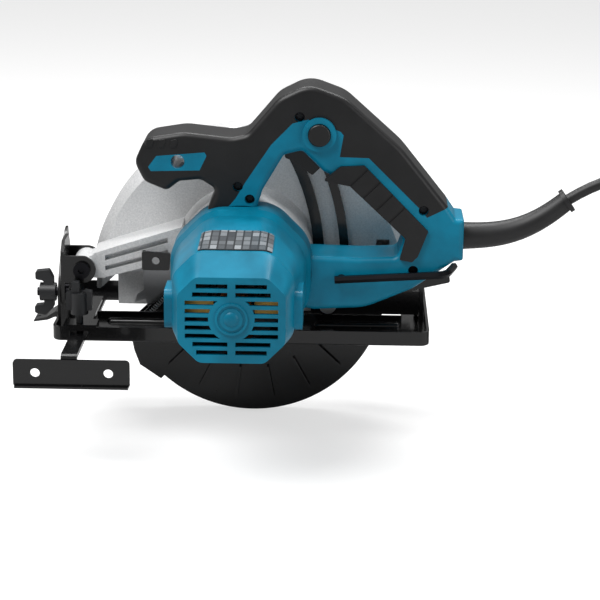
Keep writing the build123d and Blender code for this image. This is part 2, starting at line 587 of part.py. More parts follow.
SPRING_FROM = polar(88, 200, 0, SPINDLE_Z)
SPRING_TO = (-42.0, 42.0)
SPRING_WIRE = 0.45
SPRING_R = 1.5
with BuildPart() as guard_spring:
    run_x, run_z = SPRING_TO[0] - SPRING_FROM[0], SPRING_TO[1] - SPRING_FROM[1]
    run = hypot(run_x, run_z)
    with BuildLine() as coil:
        Helix(
            pitch=1.9, height=run * 0.84, radius=SPRING_R,
            center=(SPRING_FROM[0] + run_x * 0.08, -12.4, SPRING_FROM[1] + run_z * 0.08),
            direction=(run_x, 0, run_z),
        )
    with BuildSketch(Plane(origin=coil.line @ 0, z_dir=coil.line % 0)):
        Circle(SPRING_WIRE)
    sweep()
save(guard_spring, "guard_spring")

# ---------------------------------------------------------------- motor housing
# (station Y, half width, height above the axis, depth below it, top corner cut, bottom corner cut, rounding)
HOUSING = (
    (-58.0, 50.0, 49.5, 37.0, 27.0, 18.0, 28.0),
    (-84.0, 50.0, 49.5, 37.0, 27.0, 18.0, 28.0),
    (-94.0, 47.0, 47.0, 37.0, 25.0, 18.0, 26.0),
    (-130.0, 44.5, 45.0, 36.0, 21.0, 18.0, 22.0),
    (-171.0, 41.0, 41.0, 33.0, 16.0, 17.0, 14.0),
    (-190.0, 36.0, 28.5, 30.5, 12.0, 14.0, 7.0),
)
WALL = 2.5
BRUSH_CAP_R = 7.0


def housing_section(station, inset):
    """The housing's eight-sided section at one station, inset all round."""
    y, half, up, down, top_cut, bottom_cut, rounding = station
    half, up, down = half - inset, up - inset, down - inset
    top_cut, bottom_cut = top_cut - inset * 0.6, bottom_cut - inset * 0.6
    corners = [
        (half, up - top_cut), (half - top_cut, up), (top_cut - half, up), (-half, up - top_cut),
        (-half, bottom_cut - down), (bottom_cut - half, -down), (half - bottom_cut, -down),
        (half, bottom_cut - down),
    ]
    with BuildSketch(at_y(y)) as section:
        with BuildLine():
            FilletPolyline(*[(MOTOR_X + x, MOTOR_Z + z) for x, z in corners],
                           radius=max(3.0, rounding - inset), close=True)
        make_face()
    return section.sketch


with BuildPart() as motor_housing:
    loft([housing_section(station, 0) for station in HOUSING], ruled=True)
    for side in (1, -1):
        bump = sorted((MOTOR_X + side * 30, MOTOR_X + side * 46.5))
        with BuildSketch(at_x(bump[0])) as brush_bump:
            with Locations((BRUSH_Y, MOTOR_Z)):
                RectangleRounded(32, 27, 6)
        extrude(brush_bump.sketch, amount=bump[1] - bump[0])
    loft([housing_section(station, WALL) for station in HOUSING[:-1]]
         + [housing_section((-187.0, 37.0, 30.5, 31.0, 13.0, 14.0, 7.0), WALL)],
         ruled=True, mode=Mode.SUBTRACT)
    # rear bearing seat, joined to the end wall
    disc(MOTOR_BEARING_R + 2.5, -188, MOTOR_REAR_Y[1], MOTOR_X, MOTOR_Z)
    disc(MOTOR_BEARING_R, MOTOR_REAR_Y[0], MOTOR_REAR_Y[1] + 1, MOTOR_X, MOTOR_Z, mode=Mode.SUBTRACT)
    # centre boss on the end face
    disc(11, -191.2, -189, MOTOR_X, MOTOR_Z)
    disc(9.4, -191.6, -190.4, MOTOR_X, MOTOR_Z, mode=Mode.SUBTRACT)
    disc(7.6, -191.2, -190, MOTOR_X, MOTOR_Z)
    # air slots, nine rows each side of a middle strut, kept clear of the bearing seat
    with BuildSketch(at_y(-180.0)) as slots:
        for row in range(-4, 5):
            outer_end = (31.0, 31.0, 31.0, 26.0, 23.5)[abs(row)]
            for side in (1, -1):
                with Locations((MOTOR_X + side * (outer_end + 2.6) / 2, MOTOR_Z + row * 5.7 - 0.5)):
                    Rectangle(outer_end - 2.6, 3.2)
        with Locations((MOTOR_X, MOTOR_Z)):
            Circle(15.4, mode=Mode.SUBTRACT)
    extrude(slots.sketch, amount=14, mode=Mode.SUBTRACT)
    # brush cap bores and the screw passages of the field core
    for side in (1, -1):
        rod_x(BRUSH_CAP_R + 0.1, *sorted((MOTOR_X + side * 34, MOTOR_X + side * 48)), BRUSH_Y, MOTOR_Z,
              mode=Mode.SUBTRACT)
save(motor_housing, "motor_housing")

with BuildPart() as rating_plate:
    loft([housing_section(station, -0.8) for station in HOUSING], ruled=True)
    loft([housing_section(station, -0.1) for station in HOUSING], ruled=True, mode=Mode.SUBTRACT)
    with BuildSketch(Plane.XY.offset(MOTOR_Z)) as plate_area:
        with Locations((MOTOR_X + 1, -149)):
            RectangleRounded(50, 38, 2)
    extrude(plate_area.sketch, amount=60, mode=Mode.INTERSECT)
save(rating_plate, "rating_plate")

with BuildPart() as field_core:
    disc(33.2, -132, -88, MOTOR_X, MOTOR_Z)
    disc(20, -133, -87, MOTOR_X, MOTOR_Z, mode=Mode.SUBTRACT)
    # winding windows above and below, and screw holes at the sides
    for side in (1, -1):
        with Locations((MOTOR_X, -110, MOTOR_Z + side * 24)):
            Box(24, 46, 10, mode=Mode.SUBTRACT)
        disc(2.1, -133, -87, MOTOR_X + side * 29, MOTOR_Z, mode=Mode.SUBTRACT)
save(field_core, "field_core")

with BuildPart() as field_coils:
    for side in (1, -1):
        block((MOTOR_X - 11.5, MOTOR_X + 11.5), (-138, -82),
              tuple(sorted((MOTOR_Z + side * 20.4, MOTOR_Z + side * 28.6))))
    disc(20.4, -140, -80, MOTOR_X, MOTOR_Z, mode=Mode.SUBTRACT)
save(field_coils, "field_coils")

with BuildPart() as fan_baffle:
    disc(34.2, -78.5, -76.5, MOTOR_X, MOTOR_Z)
    disc(26, -79, -76, MOTOR_X, MOTOR_Z, mode=Mode.SUBTRACT)
    for side in (1, -1):
        disc(2.1, -79, -76, MOTOR_X + side * 29, MOTOR_Z, mode=Mode.SUBTRACT)
save(fan_baffle, "fan_baffle")

with BuildPart() as brush_holders:
    for side in (1, -1):
        span = tuple(sorted((MOTOR_X + side * 14, MOTOR_X + side * 37)))
        block(span, (BRUSH_Y - 5, BRUSH_Y + 5), (MOTOR_Z - 5, MOTOR_Z + 5))
        half = BRUSH_SIZE / 2 + 0.05
        block((span[0] - 1, span[1] + 1), (BRUSH_Y - half, BRUSH_Y + half), (MOTOR_Z - half, MOTOR_Z + half),
              mode=Mode.SUBTRACT)
save(brush_holders, "brush_holders")

with BuildPart() as carbon_brushes:
    for side in (1, -1):
        block(tuple(sorted((MOTOR_X + side * 13.3, MOTOR_X + side * 27))),
              (BRUSH_Y - BRUSH_SIZE / 2, BRUSH_Y + BRUSH_SIZE / 2),
              (MOTOR_Z - BRUSH_SIZE / 2, MOTOR_Z + BRUSH_SIZE / 2))
save(carbon_brushes, "carbon_brushes")

with BuildPart() as brush_caps:
    for side in (1, -1):
        outer, face = MOTOR_X + side * 44.5, MOTOR_X + side * 45.5
        rod_x(BRUSH_CAP_R, *sorted((MOTOR_X + side * 37.5, outer)), BRUSH_Y, MOTOR_Z)
        block(tuple(sorted((outer - side * 1.2, face))), (BRUSH_Y - 5, BRUSH_Y + 5),
              (MOTOR_Z - 0.8, MOTOR_Z + 0.8), mode=Mode.SUBTRACT)
save(brush_caps, "brush_caps")

with BuildPart() as case_screws:
    # retainer screws, countersunk flush
    for angle in (20, 160, 270):
        screw_x, screw_z = polar(26.5, angle, 0, SPINDLE_Z)
        disc(1.75, -18, -11.6, screw_x, screw_z)
    # long screws through the field core and the baffle
    for side in (1, -1):
        disc(2.05, -132, -74, MOTOR_X + side * 29, MOTOR_Z)
        disc(3.8, -135, -132, MOTOR_X + side * 29, MOTOR_Z)
save(case_screws, "case_screws")

# ---------------------------------------------------------------- handle
HANDLE_OUTER = (
    (0, 60, 1), (-24, 80, 1), (-29, 99, 2), (-23, 113, 5), (-34, 120, 7), (-49, 118.5, 5), (-58, 111.5, 5),
    (-74, 118, 9), (-81, 132, 10), (-73, 149.5, 13), (-46, 154, 30), (-12, 150.5, 18), (-1, 153, 9),
    (21, 179, 22), (42, 189.5, 22), (68, 180, 28), (108, 144.5, 60), (141, 103.5, 20), (147.5, 94, 1.5),
    (153.5, 93.5, 1.5), (153.5, 63.5, 1.5), (147, 62.5, 2), (118, 42, 40), (84, 27.5, 40), (48, 25.5, 12),
    (10, 30, 1),
)
HANDLE_OPENING = (
    (0, 70, 1), (6, 100, 5), (10, 113, 14), (25, 138.5, 4), (38, 142, 5), (53, 127, 3), (62, 122.5, 5),
    (72, 118, 8), (111, 79, 7), (106.5, 65.5, 5), (80, 64.5, 20), (40, 65.5, 1),
)
RUBBER_EDGE = (
    (-29, 96.5), (-15, 100), (-9, 107), (-2, 119), (16, 146), (31, 161.5), (42, 164.5), (65, 156), (67, 153.5),
    (64.5, 138), (85, 137.5), (121.5, 101.5), (127, 95), (145, 104),
)
INSERT = ((-71, 129), (-65, 137), (-31, 140), (-29.5, 137.5), (-34.5, 127), (-69, 126))
PAD = ((53, 121.5), (65, 131.5), (82, 132.5), (128, 85.5), (121, 67), (117, 63), (108, 64.5), (112, 80), (72, 117.5))
HANDLE_SCREWS = ((36.0, 166.0), (124.5, 100.0), (-7.5, 115.5), (1.0, 106.5), (67.0, 49.0), (118.0, 56.0))
FOOT_R = 50.4


def corner_path(corners):
    FilletPolyline(*[(x, z) for x, z, _ in corners], radius=[r for _, _, r in corners], close=True)


def handle_face(inset):
    """The handle's outline with its opening, inset all round."""
    with BuildSketch() as face:
        with BuildLine():
            corner_path(HANDLE_OUTER)
        make_face()
        with BuildLine():
            corner_path(HANDLE_OPENING)
        make_face(mode=Mode.SUBTRACT)
        if inset:
            offset(amount=-inset, kind=Kind.INTERSECTION)
        with Locations((MOTOR_X, MOTOR_Z)):
            Circle(FOOT_R, mode=Mode.SUBTRACT)
    return face.sketch


def handle_slab(inset, rounding):
    """Half of the handle, from the parting plane towards the motor side, with its outer edges eased."""
    face = handle_face(inset)
    with BuildPart() as slab:
        with BuildSketch(at_y(HANDLE_Y)) as placed:
            add(face)
        extrude(placed.sketch, amount=HANDLE_HALF - inset)
        if rounding:
            side_face = HANDLE_Y - HANDLE_HALF + inset
            rim = slab.edges().filter_by_position(Axis.Y, side_face - 0.01, side_face + 0.01)
            fillet([edge for edge in rim if not is_foot(edge)], rounding)
    return slab.part


def is_foot(edge):
    """True for the arc that seats on the motor housing."""
    return edge.geom_type == GeomType.CIRCLE and abs(edge.radius - FOOT_R) < 0.05


def flat_prism(corners, y_from, y_to, rounding=0):
    """A prism along Y from a closed outline given as (X, Z) corners."""
    with BuildPart() as made:
        with BuildSketch(at_y(y_to)) as outline:
            with BuildLine():
                if rounding:
                    FilletPolyline(*corners, radius=rounding, close=True)
                else:
                    Polyline(*corners, close=True)
            make_face()
        extrude(outline.sketch, amount=y_to - y_from)
    return made.part


TRIGGER_HINGE = (28.0, 141.0)
TRIGGER_POCKET = ((22, 133), (21, 151), (47, 151), (56, 128), (46, 117), (36, 124), (29, 130))
BUTTON = (50.0, 154.0)
CORD_START = (148.0, 77.5)

handle_outer = handle_slab(0, 4)
handle_core = handle_slab(SKIN, 2)
handle_hollow = handle_slab(SKIN + SHELL, 0)
rubber_zone = flat_prism(RUBBER_EDGE + ((160, 104), (160, 230), (-90, 230), (-90, 96.5)), -90, HANDLE_Y)
# a hard insert shows through the cover of the front handle
rubber_zone = rubber_zone - flat_prism(INSERT, -91, HANDLE_Y - HANDLE_HALF + 4.5)
trigger_pocket = flat_prism(TRIGGER_POCKET, HANDLE_Y - 6.4, HANDLE_Y + 6.4)
rubber_skin = (handle_outer - handle_core) & rubber_zone


with BuildPart() as room:
    loft([housing_section((y, *HOUSING[0][1:]), -0.1) for y in (-80.0, -56.0)], ruled=True)
housing_room = room.part


def finish_half(near):
    """Cuts every opening that passes through one handle half."""
    if near:
        add(housing_room, mode=Mode.SUBTRACT)
    add(trigger_pocket, mode=Mode.SUBTRACT)
    # cord guard bore and the clearance round the gear case
    rod_x(8.1, 140, 156, HANDLE_Y, CORD_START[1], mode=Mode.SUBTRACT)
    for x, z in HANDLE_SCREWS:
        disc(2.1, -80, -38, x, z, mode=Mode.SUBTRACT)
        if near:
            disc(3.6, -80, -67, x, z, mode=Mode.SUBTRACT)
    if near:
        disc(8.2, -80, -66, *BUTTON, mode=Mode.SUBTRACT)
    # finger hole right through the front handle
    disc(4.9, -80, -32, -50, 133, mode=Mode.SUBTRACT)


def screw_bosses(near):
    """Bosses between the parting plane and the side wall, with a sleeve round the through hole."""
    wall = HANDLE_HALF - SKIN - SHELL
    y_from, y_to = (HANDLE_Y - wall - 0.5, HANDLE_Y) if near else (HANDLE_Y, HANDLE_Y + wall + 0.5)
    for x, z in HANDLE_SCREWS:
        disc(5.0, y_from, y_to, x, z)
    disc(7.4, y_from, y_to, -50, 133)


with BuildPart() as handle_near:
    add(handle_outer)
    add(handle_hollow, mode=Mode.SUBTRACT)
    screw_bosses(True)
    add(handle_outer, mode=Mode.INTERSECT)
    add(rubber_skin, mode=Mode.SUBTRACT)
    disc(FOOT_R, -90, -30, MOTOR_X, MOTOR_Z, mode=Mode.SUBTRACT)
    disc(12, -79.5, -70, *BUTTON)
    finish_half(True)
save(handle_near, "handle_near")

with BuildPart() as grip_near:
    add(rubber_skin)
    disc(12.05, -80, -66, *BUTTON, mode=Mode.SUBTRACT)
    finish_half(True)
save(grip_near, "grip_near")

parting = Plane.XZ.offset(-HANDLE_Y)
far_outer = handle_outer.mirror(parting)
far_hollow = handle_hollow.mirror(parting)
far_skin = rubber_skin.mirror(parting)

with BuildPart() as handle_far:
    add(far_outer)
    add(far_hollow, mode=Mode.SUBTRACT)
    screw_bosses(False)
    add(far_outer, mode=Mode.INTERSECT)
    add(far_skin, mode=Mode.SUBTRACT)
    disc(FOOT_R, -90, -30, MOTOR_X, MOTOR_Z, mode=Mode.SUBTRACT)
    disc(GEAR_BOSS_R + 1.2, -52, -30, 0, SPINDLE_Z, mode=Mode.SUBTRACT)
    finish_half(False)
save(handle_far, "handle_far")

with BuildPart() as grip_far:
    add(far_skin)
    finish_half(False)
save(grip_far, "grip_far")

with BuildPart() as palm_rest_pad:
    add(flat_prism(PAD, -79, -76.05, 1))
    add(handle_outer, mode=Mode.SUBTRACT)
    for step in range(4):
        with Locations(Location((76 + step * 9, -79, 122 - step * 9), (0, 45, 0))):
            Box(1.6, 1.6, 24, mode=Mode.SUBTRACT)
save(palm_rest_pad, "palm_rest_pad")

with BuildPart() as handle_screws:
    for x, z in HANDLE_SCREWS:
        disc(2.0, -67, -51.5, x, z)
        disc(3.4, -70.5, -67, x, z)
save(handle_screws, "handle_screws")

# ---------------------------------------------------------------- controls in the handle
with BuildPart() as switch:
    block((42.5, 60), (-66, -46), (158, 170))
    block((43, 47), (-58, -54), (156, 160))
save(switch, "switch")

with BuildPart() as trigger:
    prism_y([(25.5, 134), (24.5, 144), (30, 147.5), (42, 146), (50.5, 131), (50.5, 127), (45, 121.5), (38, 127),
             (32.5, 131.5)], HANDLE_Y - 6, HANDLE_Y + 6, radius=1.5)
    disc(1.6, -80, -30, *TRIGGER_HINGE, mode=Mode.SUBTRACT)
save(trigger, "trigger")

with BuildPart() as lock_off_button:
    disc(7.9, -82.5, -70.5, *BUTTON)
    fillet(lock_off_button.edges().filter_by_position(Axis.Y, -82.6, -82.4), 1.2)
    disc(3.0, -70.5, -69.5, *BUTTON)
save(lock_off_button, "lock_off_button")

with BuildPart() as shaft_lock:
    rod_x(2.5, -56, -15, -41.2, SPINDLE_Z)
    rod_x(7, -61, -55.5, -41.2, SPINDLE_Z)
save(shaft_lock, "shaft_lock")

with BuildPart() as cord_clamp:
    block((126, 134), (-66, -46), (70, 85))
    rod_x(4.1, 125, 135, HANDLE_Y, CORD_START[1], mode=Mode.SUBTRACT)
save(cord_clamp, "cord_clamp")

GUARD_PATH = (
    (148.0, 77.5, 0.0, 7.9), (154.0, 77.5, 0.0, 9.8), (166.0, 78.0, 4.0, 9.4), (184.0, 80.5, 13.0, 8.8),
    (203.0, 87.5, 27.0, 8.0), (226.0, 103.5, 35.0, 7.2),
)

with BuildPart() as cord_guard:
    rod_x(7.9, 141, 154, HANDLE_Y, CORD_START[1])
    rings = []
    for x, z, angle, radius in GUARD_PATH[1:]:
        ahead = (cos(radians(angle)), 0, sin(radians(angle)))
        facing = Plane(origin=(x, HANDLE_Y, z), z_dir=ahead, x_dir=(0, 1, 0))
        with BuildSketch(facing) as ring:
            Circle(radius)
        rings.append(ring.sketch)
    loft(rings)
    tip = Plane(origin=(226, HANDLE_Y, 103.5), z_dir=(cos(radians(35)), 0, sin(radians(35))))
    with BuildSketch(tip) as flange:
        Circle(9)
    extrude(flange.sketch, amount=3)
save(cord_guard, "cord_guard")

# ---------------------------------------------------------------- depth clamp, bracket and wrench
with BuildPart() as depth_clamp_bolt:
    disc(3.7, -35, -13.5, CLAMP_X, CLAMP_Z)
    disc(6.5, -37.5, -34, CLAMP_X, CLAMP_Z)
save(depth_clamp_bolt, "depth_clamp_bolt")

with BuildPart() as depth_lever:
    disc(9, -33.5, -26, CLAMP_X, CLAMP_Z)
    prism_y([(CLAMP_X, CLAMP_Z - 6), (100, 25), (128, 31.5), (147, 36), (146, 43), (130, 40), (98, 34.5),
             (CLAMP_X, CLAMP_Z + 7)], -33.5, -28.5, radius=2)
    disc(3.75, -40, -20, CLAMP_X, CLAMP_Z, mode=Mode.SUBTRACT)
save(depth_lever, "depth_lever")

with BuildPart() as nozzle_bracket:
    prism_y([(-78, 49), (-58, 49), (-57, 62), (-78, 63)], -60, -58, radius=1.5)
    block((-78, -76), (-60, -52), (50, 62))
    disc(2.8, -61, -57, -68, 56, mode=Mode.SUBTRACT)
save(nozzle_bracket, "nozzle_bracket")

WRENCH = ((62.0, -82.0, 50.0), (141.5, -82.0, 55.0), (148.0, -60.0, 55.5))
with BuildPart() as hex_wrench:
    with BuildLine() as shank:
        FilletPolyline(*WRENCH, radius=8)
    with BuildSketch(Plane(origin=WRENCH[0], z_dir=(79.5, 0, 5), x_dir=(0, 1, 0))) as hexagon:
        RegularPolygon(2.5, 6, major_radius=False)
    sweep(hexagon.sketch, path=shank.line)
save(hex_wrench, "hex_wrench")

# ---------------------------------------------------------------- power cord
CORD_R = CORD_D / 2
COIL = (382.3, 27.0)
COIL_INNER, COIL_OUTER = 28.0, 60.0
COIL_BOTTOM = FLOOR_Z + 1.0
LEAD_Z = COIL_BOTTOM + CORD_R
LEAD_POINTS = (
    (228.5, -56.0, 105.2), (260.4, -56.0, 126.0), (305.4, -56.0, 116.4), (334.1, -56.0, 75.4),
    (326.8, -56.0, 16.0), (326.3, -45.6, -42.5), (326.3, -15.6, LEAD_Z), (326.3, 27.0, LEAD_Z),
)
TAIL_X = COIL[0] + COIL_OUTER - CORD_R
TAIL_Z = COIL_BOTTOM + CORD_D + CORD_R
PLUG_Y = -24.0


def bend_radii(points):
    """The largest bends that leave a tenth of the shorter run straight at each corner."""
    radii = []
    for before, corner, after in zip(points, points[1:], points[2:]):
        run_in, run_out = Vector(*corner) - Vector(*before), Vector(*after) - Vector(*corner)
        half_turn = radians(run_in.get_angle(run_out)) / 2
        radii.append(0.45 * min(run_in.length, run_out.length) / tan(half_turn))
    return radii


lead_radii = bend_radii(LEAD_POINTS)
print("cord bend radii", [round(radius, 1) for radius in lead_radii])

with BuildPart() as cord_lead:
    with BuildLine() as lead_path:
        FilletPolyline(*LEAD_POINTS, radius=lead_radii)
    with BuildSketch(Plane(origin=LEAD_POINTS[0], z_dir=Vector(*LEAD_POINTS[1]) - Vector(*LEAD_POINTS[0]))) as end:
        Circle(CORD_R)
    sweep(end.sketch, path=lead_path.line)
    with Locations(Location((TAIL_X, (COIL[1] + PLUG_Y) / 2, TAIL_Z), (90, 0, 0))):
        Cylinder(CORD_R, COIL[1] - PLUG_Y)
print("cord length", round(sum(edge.length for edge in lead_path.edges()), 1))
save(cord_lead, "cord_lead")

with BuildPart() as cord_coil:
    with BuildSketch(Plane.XY.offset(COIL_BOTTOM)) as coil_ring:
        with Locations(COIL):
            Circle(COIL_OUTER)
            Circle(COIL_INNER, mode=Mode.SUBTRACT)
    extrude(coil_ring.sketch, amount=2 * CORD_D)
save(cord_coil, "cord_coil")

with BuildPart() as coil_tie:
    block((COIL[0] - 4, COIL[0] + 4), (COIL[1] - 61.2, COIL[1] - 26.8), (FLOOR_Z, COIL_BOTTOM + 17.2))
    with BuildSketch(Plane.XY.offset(COIL_BOTTOM)) as tied:
        with Locations(COIL):
            Circle(COIL_OUTER)
            Circle(COIL_INNER, mode=Mode.SUBTRACT)
    extrude(tied.sketch, amount=2 * CORD_D, mode=Mode.SUBTRACT)
save(coil_tie, "coil_tie")

with BuildPart() as plug_body:
    plug_rings = []
    for y, wide, thick in ((0, 12, 12), (9, 16, 14), (16, 30, 20), (36, 32, 23)):
        with BuildSketch(at_y(PLUG_Y - y)) as plug_section:
            with Locations((TAIL_X, TAIL_Z)):
                RectangleRounded(wide, thick, min(wide, thick) * 0.3)
        plug_rings.append(plug_section.sketch)
    loft(plug_rings, ruled=True)
save(plug_body, "plug_body")

with BuildPart() as plug_pins:
    for side in (1, -1):
        block((TAIL_X + side * 6.35 - 0.8, TAIL_X + side * 6.35 + 0.8), (PLUG_Y - 54, PLUG_Y - 36),
              (TAIL_Z - 3.2, TAIL_Z + 3.2))
        with Locations(Location((TAIL_X + side * 6.35, PLUG_Y - 50.5, TAIL_Z), (0, 90, 0))):
            Cylinder(1.6, 4, mode=Mode.SUBTRACT)
save(plug_pins, "plug_pins")
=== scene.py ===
# %% [markdown]
# # A corded circular saw
# The saw's real shape comes as a finished frame of metal, plastic and rubber pieces, each already
# in place and in metres. This lesson gives those pieces their finishes, adds the fine detail that
# a mould or a press leaves behind, lays the power cord, and sets up a plain pale studio.

# %% Load the frame
import bpy
import bmesh
import json
from math import atan2, cos, degrees, pi, radians, sin, tau
from mathutils import Matrix, Vector


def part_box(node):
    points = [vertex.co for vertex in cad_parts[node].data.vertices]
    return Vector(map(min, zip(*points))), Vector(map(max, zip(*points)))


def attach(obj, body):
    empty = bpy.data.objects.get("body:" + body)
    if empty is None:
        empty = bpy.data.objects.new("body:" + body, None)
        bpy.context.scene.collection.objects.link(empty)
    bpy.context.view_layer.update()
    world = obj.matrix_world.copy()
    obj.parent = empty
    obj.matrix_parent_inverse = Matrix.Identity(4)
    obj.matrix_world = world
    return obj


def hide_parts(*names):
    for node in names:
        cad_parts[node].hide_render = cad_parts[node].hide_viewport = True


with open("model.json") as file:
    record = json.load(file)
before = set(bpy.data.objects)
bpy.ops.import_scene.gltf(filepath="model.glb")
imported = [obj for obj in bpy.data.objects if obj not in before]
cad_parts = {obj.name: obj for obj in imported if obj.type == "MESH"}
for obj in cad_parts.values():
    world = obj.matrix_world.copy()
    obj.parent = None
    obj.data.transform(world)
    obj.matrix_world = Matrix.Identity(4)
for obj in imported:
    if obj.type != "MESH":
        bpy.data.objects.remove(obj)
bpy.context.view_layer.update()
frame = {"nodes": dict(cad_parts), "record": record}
nodes = frame["nodes"]
MM = 0.001
print("frame nodes", len(nodes))

# %% [markdown]
# The camera stands well back with a long lens, sixteen degrees above the horizon and a little
# behind the spindle, so that the motor end faces it almost squarely. A long lens keeps the near
# motor and the far blade case close to the same scale, as in a catalogue picture.

# %% Camera
camera_data = bpy.data.cameras.new("catalogue camera")
camera = bpy.data.objects.new("catalogue camera", camera_data)
bpy.context.scene.collection.objects.link(camera)
bpy.context.scene.camera = camera
CAMERA_PLACE = Vector((0.0732, -1.4449, 0.4256))
LOOK_DOWN, LOOK_ASIDE, ROLL = radians(16.0), radians(1.5), radians(0.5)
look = Vector((-sin(LOOK_ASIDE) * cos(LOOK_DOWN), cos(LOOK_ASIDE) * cos(LOOK_DOWN), -sin(LOOK_DOWN)))
level_right = look.cross(Vector((0, 0, 1))).normalized()
level_up = level_right.cross(look)
right = level_right * cos(ROLL) + level_up * sin(ROLL)
up = level_up * cos(ROLL) - level_right * sin(ROLL)
camera.matrix_world = Matrix((
    (right.x, up.x, -look.x, CAMERA_PLACE.x),
    (right.y, up.y, -look.y, CAMERA_PLACE.y),
    (right.z, up.z, -look.z, CAMERA_PLACE.z),
    (0, 0, 0, 1),
))
camera_data.sensor_width = 36.0
camera_data.lens = 118.9
camera_data.clip_end = 20.0
print("camera", tuple(round(v, 4) for v in CAMERA_PLACE), "lens", camera_data.lens)

# %% [markdown]
# Every finish is made from shader nodes. One small function adds a node with its settings and its
# links, and one turns a colour chosen on a screen, which is sRGB, into the linear light values
# that a renderer adds up.


# %% Helpers for finishes
def linear(hex_colour):
    """The linear colour of an sRGB hex value such as 157F9B."""
    channels = [int(hex_colour[i:i + 2], 16) / 255 for i in (0, 2, 4)]
    return tuple(c / 12.92 if c <= 0.04045 else ((c + 0.055) / 1.055) ** 2.4 for c in channels) + (1.0,)


def add(tree, kind, settings=None, **links):
    """Adds a node, sets its properties and socket values, and links named sockets to outputs."""
    node = tree.nodes.new(kind)
    for key, value in (settings or {}).items():
        if key in node.inputs:
            node.inputs[key].default_value = value
        else:
            setattr(node, key, value)
    for name, source in links.items():
        tree.links.new(source, node.inputs[name.replace("_", " ")])
    return node


def start(name):
    """A new material, its node tree, its shader and the coordinates of the object."""
    material = bpy.data.materials.new(name)
    material.use_nodes = True
    tree = material.node_tree
    shader = tree.nodes["Principled BSDF"]
    coordinates = add(tree, "ShaderNodeTexCoord").outputs["Object"]
    return material, tree, shader, coordinates


def per_metre(size_mm):
    """The texture scale that gives a pattern of this size, when coordinates are in metres."""
    return 1000.0 / size_mm


def vary(tree, shader, source, dark, light, low=0.35, high=0.65):
    """Colours a surface between two close tones along a pattern."""
    ramp = add(tree, "ShaderNodeValToRGB", Fac=source)
    ramp.color_ramp.elements[0].position = low
    ramp.color_ramp.elements[1].position = high
    ramp.color_ramp.elements[0].color = linear(dark)
    ramp.color_ramp.elements[1].color = linear(light)
    tree.links.new(ramp.outputs["Color"], shader.inputs["Base Color"])
    return ramp


def roughen(tree, shader, source, low, high):
    """Lets a pattern move the roughness between two values."""
    spread = add(tree, "ShaderNodeMapRange", {"To Min": low, "To Max": high}, Value=source)
    tree.links.new(spread.outputs["Result"], shader.inputs["Roughness"])


def bump(tree, shader, source, depth_mm, strength=1.0, under=None):
    """Presses a pattern into the surface to a real depth."""
    pressed = add(tree, "ShaderNodeBump", {"Distance": depth_mm * MM, "Strength": strength}, Height=source)
    if under:
        tree.links.new(under.outputs["Normal"], pressed.inputs["Normal"])
    tree.links.new(pressed.outputs["Normal"], shader.inputs["Normal"])
    return pressed


def moulded(name, dark, light, roughness, grain_mm, depth_mm, ior=1.49, gloss=0.5):
    """A moulded plastic or rubber: a spark-eroded grain, and a faint cloudiness in its colour."""
    material, tree, shader, where = start(name)
    shader.inputs["IOR"].default_value = ior
    shader.inputs["Specular IOR Level"].default_value = gloss
    cloud = add(tree, "ShaderNodeTexNoise", {"Scale": per_metre(22.0), "Detail": 4.0}, Vector=where)
    grain = add(tree, "ShaderNodeTexNoise", {"Scale": per_metre(grain_mm), "Detail": 3.0}, Vector=where)
    vary(tree, shader, cloud.outputs["Fac"], dark, light)
    roughen(tree, shader, cloud.outputs["Fac"], roughness - 0.05, roughness + 0.06)
    bump(tree, shader, grain.outputs["Fac"], depth_mm)
    return material


def metal(name, dark, light, roughness, grain_mm, depth_mm, stretch=(1, 1, 1), metallic=1.0):
    """A bare or plated metal. stretch draws its grain out into brushing along an axis."""
    material, tree, shader, where = start(name)
    shader.inputs["Metallic"].default_value = metallic
    mapped = add(tree, "ShaderNodeMapping", {"Scale": stretch}, Vector=where)
    grain = add(tree, "ShaderNodeTexNoise", {"Scale": per_metre(grain_mm), "Detail": 5.0},
                Vector=mapped.outputs["Vector"])
    stain = add(tree, "ShaderNodeTexNoise", {"Scale": per_metre(35.0), "Detail": 3.0}, Vector=where)
    vary(tree, shader, stain.outputs["Fac"], dark, light)
    roughen(tree, shader, grain.outputs["Fac"], roughness - 0.08, roughness + 0.08)
    bump(tree, shader, grain.outputs["Fac"], depth_mm)
    return material


# %% [markdown]
# The finishes. The motor housing and the handle shells are glass-filled nylon, dyed through in a
# deep teal, with a fine spark-eroded texture that breaks highlights softly. The grip is a soft
# thermoplastic rubber moulded over them. The blade case is die-cast aluminium, tumbled and
# lacquered, and the base and the brackets are pressed steel with a gloss powder coat, whose slight
# orange peel shows only where a light is mirrored in it.

# %% Finishes
teal = moulded("glass-filled nylon, teal", "006782", "007795", 0.36, 0.9, 0.012, ior=1.5, gloss=0.25)
rubber = moulded("overmoulded rubber", "0E0E0F", "151516", 0.42, 1.1, 0.03, ior=1.47, gloss=0.45)
black_plastic = moulded("moulded black nylon", "0C0C0D", "121213", 0.36, 0.8, 0.01)
knob_plastic = moulded("moulded grey knob", "17181A", "1F2022", 0.42, 0.7, 0.015)
cable = moulded("cable sheath rubber", "0D0D0E", "141415", 0.46, 1.4, 0.02, ior=1.5)
# This dark finish also serves as the painted shade inside the screw drive recesses.
carbon_and_recess_shade = moulded("pressed carbon and painted recess shade", "202124", "2B2C30", 0.55, 0.5, 0.02)
zinc = metal("zinc plate", "B9BBBE", "CBCDCF", 0.32, 0.8, 0.004)
steel = metal("ground steel", "A8AAAD", "BDBFC2", 0.30, 0.5, 0.004, stretch=(1, 12, 12))
oxide = metal("black oxide steel", "17171A", "202024", 0.36, 0.7, 0.004, metallic=0.85)
core = metal("laminated core steel", "6C6E72", "808286", 0.42, 0.5, 0.02, stretch=(1, 8, 1))
